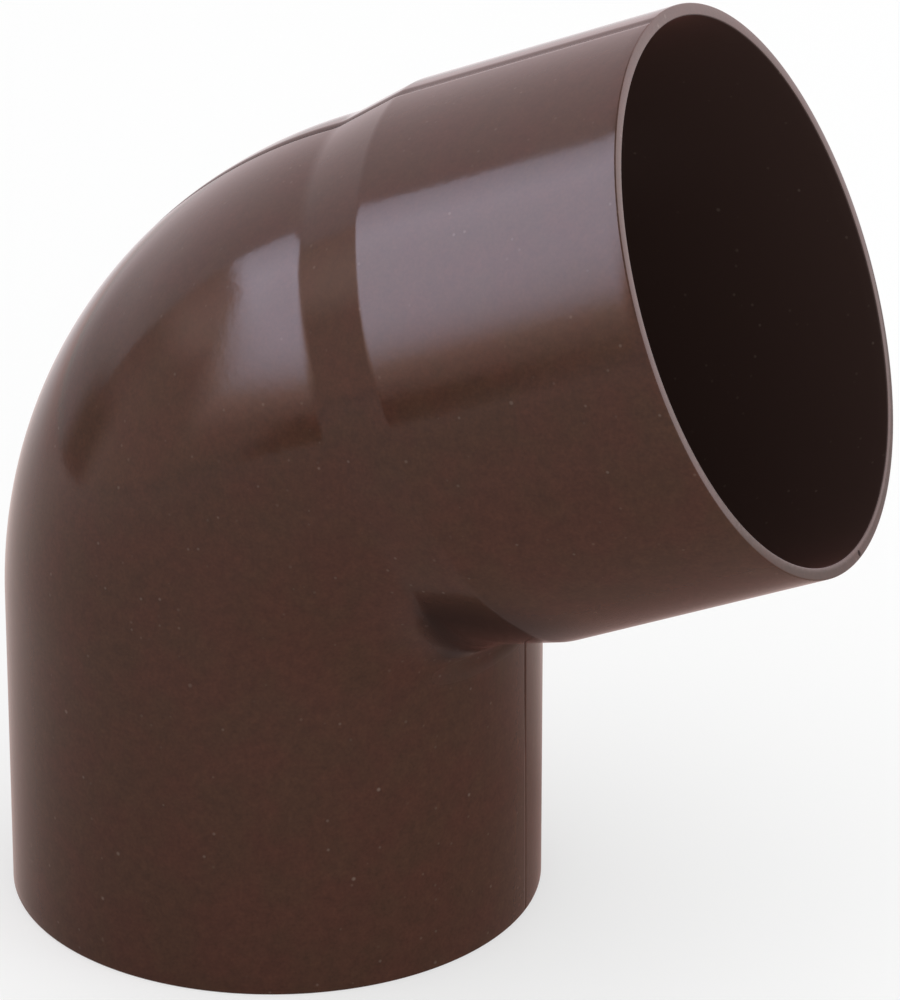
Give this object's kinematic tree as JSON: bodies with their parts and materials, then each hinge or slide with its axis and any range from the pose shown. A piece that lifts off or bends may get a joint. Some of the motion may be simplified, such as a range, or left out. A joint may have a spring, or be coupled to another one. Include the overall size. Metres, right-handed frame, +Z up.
{
  "type": "downspout elbow",
  "caption": "Round moulded plastic downspout elbow: a plain spigot below, a tight bend, and a swollen socket above that leans out and takes the end of the next pipe.",
  "frame": {"origin": "centre of the spigot's lower end, on the plane that the part stands on", "axes": "+Z up the spigot's axis; the socket leans over towards +X; the XZ plane is the plane of symmetry"},
  "size_m": [0.1634, 0.105, 0.1805],
  "materials": {
    "brown_pvc": "gloss"
  },
  "bodies": {
    "root": {"elbow": "brown_pvc"}
  },
  "joints": []
}
